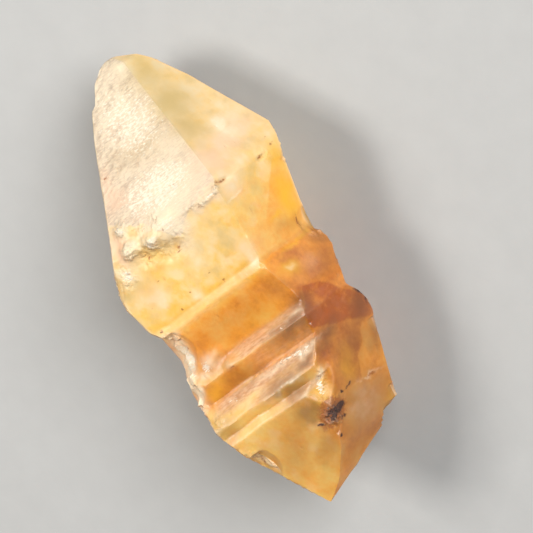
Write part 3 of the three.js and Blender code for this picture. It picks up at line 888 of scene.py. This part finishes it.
# Speckles: (size in millimetres, detail), and then the squeeze of features along each direction or
# the values that the speckle is spread between. A crisp mask is (size, squeeze along the axis,
# start, full).
SPECKLE_RANGE = (0.3, 0.7)
BODY_DRIFT = (0.9, 5.0, -0.14, 0.14)
BODY_MOTTLE = (0.16, 5.0, -0.05, 0.05)
WISPS = (0.7, 6.0)
PINK_STREAKS = (0.3, 3.0, (4, 1, 1))
ETCH_STREAKS = (0.24, 4.0, (5, 1, 1))
CLOUD_TEARS = (0.3, 4.0, 0.55, 1.1)
ROUGHNESS_DRIFT = (0.3, 3.0, -0.05, 0.08)
ETCH_GRAIN = (0.06, 2.0)
CRUMBS = (0.17, 3.0)
CRISP_DETAIL = 4.0
CRISP_GRAIN = (0.55, 1.45)
CRISP_MASKS = {"rust": (0.12, 1, 0.4, 0.8), "glint": (0.16, 3, 0.78, 1.0), "dark": (0.14, 1, 0.3, 0.75)}
STREAK_RANGE = (0.35, 0.65)
ETCH_RANGE = (0.3, 1.5)

# How strongly the masks work, and depths in millimetres. Wisps are palest where the body is pale.
WISP_FADE = (0.3, 0.55, 1.0, 0.06)
WISP_CLOUD = (0.5, 0.66, 0.0, 0.42)
WISP_DUSK = (0.5, 0.34, 0.0, 0.45)
HOLLOW_STAIN = 0.3
BREAK_PALENESS = 0.85
RUST_STRENGTH = 0.85
EDGE_HIGHLIGHT_AND_WEAR = 0.45
GRAIN_DEPTH = 0.03
SOUND_GRAIN = 0.15
CRUMB_DEPTH = 0.2
ROUGHNESS = (0.42, 0.8)
CORUNDUM_IOR = 1.77
FILMED_REFLECTION = 0.3
BODY_TRANSMISSION = 0.5
DEPTH_TINT = (1.0, 0.7, 0.25, 1.0)
DEPTH_TINT_DENSITY = 80.0

# The floor: its two close tones, and its faint tooth.
FLOOR_TONES = [colour(150, 150, 149), colour(156, 156, 155)]
FLOOR_PATCHES = (1.2, 4.0)
FLOOR_ROUGHNESS = 0.7
FLOOR_TOOTH = (0.25, 3.0)
FLOOR_TOOTH_DEPTH = 0.004


def speckle_group():
    """Node group: noise on the piece's own coordinates, with features of one size in millimetres."""
    group = bpy.data.node_groups.new("speckle", "ShaderNodeTree")
    for name, kind in (("Size", "Float"), ("Detail", "Float"), ("Stretch", "Vector")):
        group.interface.new_socket(name, in_out="INPUT", socket_type="NodeSocket" + kind)
    group.interface.new_socket("Value", in_out="OUTPUT", socket_type="NodeSocketFloat")
    nodes = Nodes(group)
    given = nodes.add("NodeGroupInput")
    place = nodes.add("ShaderNodeTexCoord").outputs["Object"]
    stretched = nodes.add("ShaderNodeVectorMath", operation="MULTIPLY")
    nodes.feed(stretched.inputs[0], place)
    nodes.feed(stretched.inputs[1], given.outputs["Stretch"])
    noise_node = nodes.add("ShaderNodeTexNoise")
    nodes.feed(noise_node.inputs["Vector"], stretched.outputs[0])
    nodes.feed(noise_node.inputs["Scale"], nodes.math("DIVIDE", 1 / MM, given.outputs["Size"]))
    nodes.feed(noise_node.inputs["Detail"], given.outputs["Detail"])
    nodes.feed(nodes.add("NodeGroupOutput").inputs["Value"], noise_node.outputs["Fac"])
    return group


class Nodes:
    """A node tree, with short ways to add the nodes that this crystal needs."""

    def __init__(self, tree):
        self.tree = tree

    def add(self, kind, **values):
        """A node, with its own settings by attribute name."""
        node = self.tree.nodes.new(kind)
        for name, value in values.items():
            setattr(node, name, value)
        return node

    def feed(self, socket, value):
        """Links a socket to another node's output, or sets it to a plain value."""
        if isinstance(value, bpy.types.NodeSocket):
            self.tree.links.new(value, socket)
        else:
            socket.default_value = value

    def mask(self, name, strength=1.0):
        """One of the piece's masks, times a strength and held from 0 to 1."""
        value = self.add("ShaderNodeAttribute", attribute_name=name).outputs["Fac"]
        return self.math("MULTIPLY", value, strength, clamp=True)

    def math(self, operation, first, second=0.0, clamp=False):
        """One sum, product or comparison of two values."""
        node = self.add("ShaderNodeMath", operation=operation, use_clamp=clamp)
        self.feed(node.inputs[0], first)
        self.feed(node.inputs[1], second)
        return node.outputs[0]

    def mix(self, factor, first, second, blend="MIX"):
        """Blends two colours by a factor from 0 to 1."""
        node = self.add("ShaderNodeMix", data_type="RGBA", blend_type=blend)
        self.feed(node.inputs["Factor"], factor)
        self.feed(node.inputs[MIX_FIRST], first)
        self.feed(node.inputs[MIX_SECOND], second)
        return node.outputs[MIX_RESULT]

    def span(self, value, low, high, out_low=0.0, out_high=1.0):
        """Maps a value from one range to another, held inside the second."""
        node = self.add("ShaderNodeMapRange")
        for socket, number in zip(node.inputs, (value, low, high, out_low, out_high)):
            self.feed(socket, number)
        return node.outputs[0]

    def speckle(self, size, detail=2.0, stretch=(1, 1, 1)):
        """One use of the speckle group."""
        node = self.add("ShaderNodeGroup")
        node.node_tree = bpy.data.node_groups.get("speckle") or speckle_group()
        for name, value in (("Size", size), ("Detail", detail), ("Stretch", stretch)):
            self.feed(node.inputs[name], value)
        return node.outputs["Value"]

    def speckle_between(self, size, detail, low, high):
        """Speckle spread over a range of values."""
        return self.span(self.speckle(size, detail), *SPECKLE_RANGE, low, high)

    def crisp(self, name):
        """A mask whose soft border is broken up into fine shapes."""
        size, squeeze, start, full = CRISP_MASKS[name]
        speckle = self.speckle(size, CRISP_DETAIL, (squeeze, 1, 1))
        grain = self.span(speckle, *SPECKLE_RANGE, *CRISP_GRAIN)
        value = self.add("ShaderNodeAttribute", attribute_name=name).outputs["Fac"]
        return self.span(self.math("MULTIPLY", value, grain), start, full)

    def ramp(self, value, stops):
        """A colour ramp with the given (place, colour) stops."""
        node = self.add("ShaderNodeValToRGB")
        self.feed(node.inputs[0], value)
        elements = node.color_ramp.elements
        while len(elements) < len(stops):
            elements.new(0.5)
        for element, (place, tone) in zip(elements, stops):
            element.position = place
            element.color = tone
        return node.outputs[0]


def new_material(name):
    """A material, its nodes and its Principled shader."""
    material = bpy.data.materials.new(name)
    material.use_nodes = True
    return material, Nodes(material.node_tree), material.node_tree.nodes["Principled BSDF"]


def add_bump(nodes, shader, depth, height):
    """Bump of a depth in millimetres, from a height that goes from 0 to about 1."""
    bump = nodes.add("ShaderNodeBump")
    bump.inputs["Distance"].default_value = depth * MM
    nodes.feed(bump.inputs["Height"], height)
    nodes.feed(shader.inputs["Normal"], bump.outputs[0])


def body_colour(nodes):
    """The growth zones' colours, from pale yellow to deep orange, with drifts and mottles."""
    drift = nodes.speckle_between(*BODY_DRIFT)
    mottle = nodes.speckle_between(*BODY_MOTTLE)
    amber = nodes.math("ADD", nodes.mask("amber"), nodes.math("ADD", drift, mottle), clamp=True)
    return nodes.ramp(amber, BODY_RAMP)


def wisp_layers(nodes):
    """Faint wisps of cloud, with dusky gaps between them, which fade where the body turns orange."""
    wisps = nodes.speckle(*WISPS)
    clear = nodes.span(nodes.mask("amber"), *WISP_FADE)
    return [
        (nodes.math("MULTIPLY", nodes.span(wisps, *WISP_CLOUD), clear), CREAM),
        (nodes.math("MULTIPLY", nodes.span(wisps, *WISP_DUSK), clear), OLIVE_TINT),
    ]


def crystal_colour(nodes):
    """Body colour, with stains, frost, clouds, crusts and painted highlights and shade laid over it in turn.
    """
    streaked = nodes.span(nodes.speckle(*PINK_STREAKS), *STREAK_RANGE)
    etched = nodes.span(nodes.speckle(*ETCH_STREAKS), *STREAK_RANGE)
    striae_whiteness_and_shade = nodes.span(nodes.math("ADD", nodes.mask("striae_whiteness_and_shade"), etched), *ETCH_RANGE)
    torn = nodes.speckle_between(*CLOUD_TEARS)
    layers = wisp_layers(nodes) + [
        (nodes.mask("glow"), GOLD),
        (nodes.mask("ledge"), nodes.mix(streaked, PINK_SHADE, PINK_PALE)),
        (nodes.mask("hollow", HOLLOW_STAIN), IRON_BROWN),
        # Frost paler on striae crests and darker in valleys: partly painted highlight and shade.
        (nodes.mask("frost"), nodes.mix(striae_whiteness_and_shade, FROST_SHADE, FROST)),
        (nodes.mask("olive"), OLIVE_TINT),
        (nodes.mask("blush"), BLUSH_TINT),
        # Smoky brown, partly painted shadow.
        (nodes.mask("smoke_and_shade"), SMOKE_AND_SHADE_BROWN),
        (nodes.mask("broken", BREAK_PALENESS), CREAM),
        # Milky clouds, with a painted internal reflection and painted glints among them.
        (nodes.mask("cloud_and_reflection", torn), CREAM),
        (nodes.math("MULTIPLY", nodes.crisp("rust"), RUST_STRENGTH), IRON_BROWN),
        # Paler raised edges: worn crystal and a painted crest highlight.
        (nodes.mask("edge", EDGE_HIGHLIGHT_AND_WEAR), CREAM),
        # A painted highlight along the two side edges.
        (nodes.mask("rim_highlight"), RIM_HIGHLIGHT_TONE),
        # Painted highlights: fine white glints.
        (nodes.crisp("glint"), GLINT),
        (nodes.crisp("dark"), INCLUSION),
    ]
    tone = body_colour(nodes)
    for share, tint in layers:
        tone = nodes.mix(share, tone, tint)
    return tone


def crumbled_mask(nodes):
    """The places that are etched, crusted, broken or dark, and so have no shine."""
    matt = nodes.math("MAXIMUM", nodes.mask("frost"), nodes.mask("crust"))
    matt = nodes.math("MAXIMUM", matt, nodes.mask("broken"))
    return nodes.math("MAXIMUM", matt, nodes.mask("dark"))


def crystal_bump(nodes, shader):
    """Fine etch grain, deeper where frosted or broken, with coarser crumbs on crusts."""
    grain = nodes.speckle(*ETCH_GRAIN)
    etched = nodes.math("MULTIPLY", grain, nodes.span(crumbled_mask(nodes), 0, 1, SOUND_GRAIN, 1))
    crumbs = nodes.math("MULTIPLY", nodes.speckle(*CRUMBS), nodes.mask("crust"))
    height = nodes.math("ADD", etched, nodes.math("MULTIPLY", crumbs, CRUMB_DEPTH / GRAIN_DEPTH))
    add_bump(nodes, shader, GRAIN_DEPTH, height)


def sapphire_material():
    """Cloudy yellow sapphire: a see-through body with a milky share, coloured again by depth. It is
    glassy where the faces are sound, and matt where they are etched, crusted or broken."""
    material, nodes, shader = new_material("rough_yellow_sapphire")
    nodes.feed(shader.inputs["Base Color"], crystal_colour(nodes))
    matt = nodes.math("MAXIMUM", crumbled_mask(nodes), nodes.mask("ledge"))
    patchy = nodes.speckle_between(*ROUGHNESS_DRIFT)
    rough = nodes.math("ADD", nodes.span(matt, 0, 1, *ROUGHNESS), patchy, clamp=True)
    nodes.feed(shader.inputs["Roughness"], rough)
    crystal_bump(nodes, shader)
    shader.inputs["IOR"].default_value = CORUNDUM_IOR
    shader.inputs["Specular IOR Level"].default_value = FILMED_REFLECTION
    shader.inputs["Transmission Weight"].default_value = BODY_TRANSMISSION
    depth_tint = nodes.add("ShaderNodeVolumeAbsorption")
    depth_tint.inputs["Color"].default_value = DEPTH_TINT
    depth_tint.inputs["Density"].default_value = DEPTH_TINT_DENSITY
    output = material.node_tree.nodes["Material Output"]
    nodes.feed(output.inputs["Volume"], depth_tint.outputs[0])
    return material


def floor_material():
    """Pale matt board with a faint tooth."""
    material, nodes, shader = new_material("pale_board")
    tone = nodes.mix(nodes.speckle(*FLOOR_PATCHES), *FLOOR_TONES)
    nodes.feed(shader.inputs["Base Color"], tone)
    shader.inputs["Roughness"].default_value = FLOOR_ROUGHNESS
    add_bump(nodes, shader, FLOOR_TOOTH_DEPTH, nodes.speckle(*FLOOR_TOOTH))
    return material


# --- Stage, light and camera ---

# The camera's own directions in the frame, and the middle of what it takes in.
PICTURE_RIGHT = Vector((-0.588, -0.721, -0.367))
PICTURE_UP = Vector((0.809, -0.524, -0.267))
TOWARDS_CAMERA = Vector((0.0, -0.454, 0.891))
PICTURE_MIDDLE = Vector((-0.695, -0.686, 3.355)) * MM
PICTURE_WIDTH = 22.2 * MM
LENS = 250.0
SENSOR = 36.0
CLIP_SHARE = 50
FLOOR_SIZE = 1200 * MM
FLOOR_GAP = 0.02 * MM
ROOM_TINT = (1.0, 0.98, 0.95, 1.0)
ROOM_STRENGTH = 0.2

# Lamps: (name, where it stands as (right, up, towards the camera), distance and size in metres,
# power, tint).
LAMPS = [
    ("key", (-0.75, 0.0, 0.6), 0.16, 0.055, 0.24, (1.0, 0.97, 0.92)),
    ("overhead", (0.25, 0.2, 1.0), 0.3, 0.16, 1.25, (1.0, 1.0, 1.0)),
]


def add_floor():
    """A wide flat board, just under the crystal."""
    half = FLOOR_SIZE / 2
    corners = [(-half, -half), (half, -half), (half, half), (-half, half)]
    mesh = bpy.data.meshes.new("floor")
    mesh.from_pydata([(x, y, -FLOOR_GAP) for x, y in corners], [], [(0, 1, 2, 3)])
    mesh.materials.append(floor_material())
    floor = placed("floor", mesh)


def looking(place, back, up):
    """A matrix that stands at a place and looks against the back direction."""
    back = back.normalized()
    right = up.cross(back).normalized()
    up = back.cross(right)
    return Matrix.Translation(place) @ Matrix((right, up, back)).transposed().to_4x4()


def add_light(name, stand, distance, size, power, tint):
    """A soft square lamp that faces the crystal."""
    lamp = bpy.data.lights.new(name, "AREA")
    lamp.size = size
    lamp.energy = power
    lamp.color = tint
    right, up, towards = stand
    away = (PICTURE_RIGHT * right + PICTURE_UP * up + TOWARDS_CAMERA * towards).normalized()
    place = PICTURE_MIDDLE + away * distance
    placed(name, lamp).matrix_world = looking(place, away, Vector((0, 0, 1)))


def add_lights():
    """A soft key from the camera's left, a broad overhead fill and a faint pale room."""
    bpy.context.scene.view_settings.view_transform = "Standard"
    for lamp in LAMPS:
        add_light(*lamp)
    world = bpy.data.worlds.new("pale_room")
    world.use_nodes = True
    background = world.node_tree.nodes["Background"]
    background.inputs["Color"].default_value = ROOM_TINT
    background.inputs["Strength"].default_value = ROOM_STRENGTH
    bpy.context.scene.world = world


def add_camera():
    """A long lens, far enough back that it takes in PICTURE_WIDTH at the crystal."""
    camera = bpy.data.cameras.new("camera")
    camera.lens = LENS
    camera.sensor_width = SENSOR
    distance = PICTURE_WIDTH * LENS / SENSOR
    camera.clip_start = distance / CLIP_SHARE
    camera.clip_end = distance * CLIP_SHARE
    place = PICTURE_MIDDLE + TOWARDS_CAMERA.normalized() * distance
    holder = placed("camera", camera)
    holder.matrix_world = looking(place, TOWARDS_CAMERA, PICTURE_UP)
    bpy.context.scene.camera = holder


def add_crystal():
    """The crystal in its material, standing in for the solid."""
    piece = build_crystal()
    piece.data.materials.append(sapphire_material())
    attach(piece, "root")
    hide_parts(NODE)


add_camera()
add_lights()
add_floor()
add_crystal()
